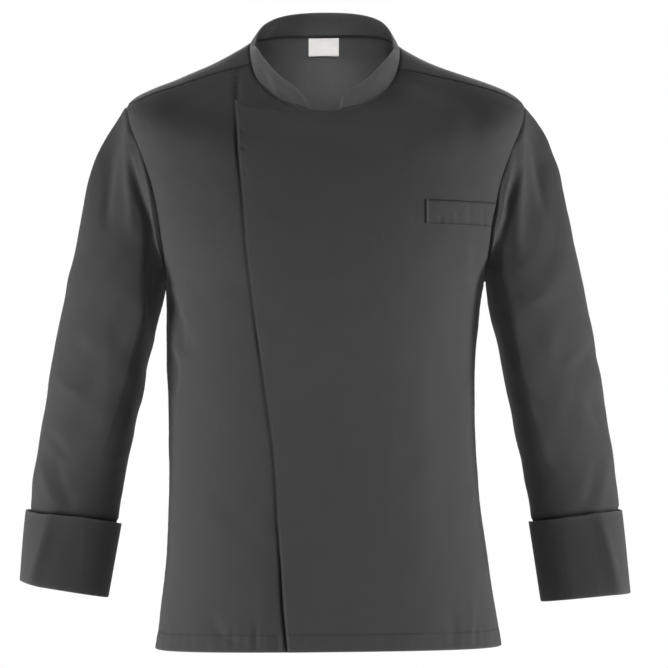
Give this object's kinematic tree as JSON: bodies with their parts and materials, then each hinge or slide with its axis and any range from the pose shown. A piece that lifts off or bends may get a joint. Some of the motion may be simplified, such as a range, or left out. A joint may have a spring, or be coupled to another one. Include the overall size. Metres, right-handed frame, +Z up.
{
  "type": "chef jacket",
  "caption": "Long-sleeved chef jacket with a stand collar, slanting hidden front closure, chest welt pocket and turned-back cuffs, filled out as worn.",
  "frame": {"origin": "middle of the neck, at the height where the collar meets the shoulders, where the wearer's shoulders hold the jacket up", "axes": "+X to the wearer's left, the front faces -Y, +Z up"},
  "size_m": [0.733, 0.2512, 0.766],
  "materials": {
    "twill": "matt charcoal polyester and cotton twill",
    "label_tape": "smooth white woven tape"
  },
  "bodies": {
    "root": {"back": "twill", "front_left": "twill", "front_right": "twill", "sleeve_left": "twill", "sleeve_right": "twill", "cuff_left": "twill", "cuff_right": "twill", "collar": "twill", "chest_welt": "twill", "neck_label": "label_tape"}
  },
  "joints": []
}
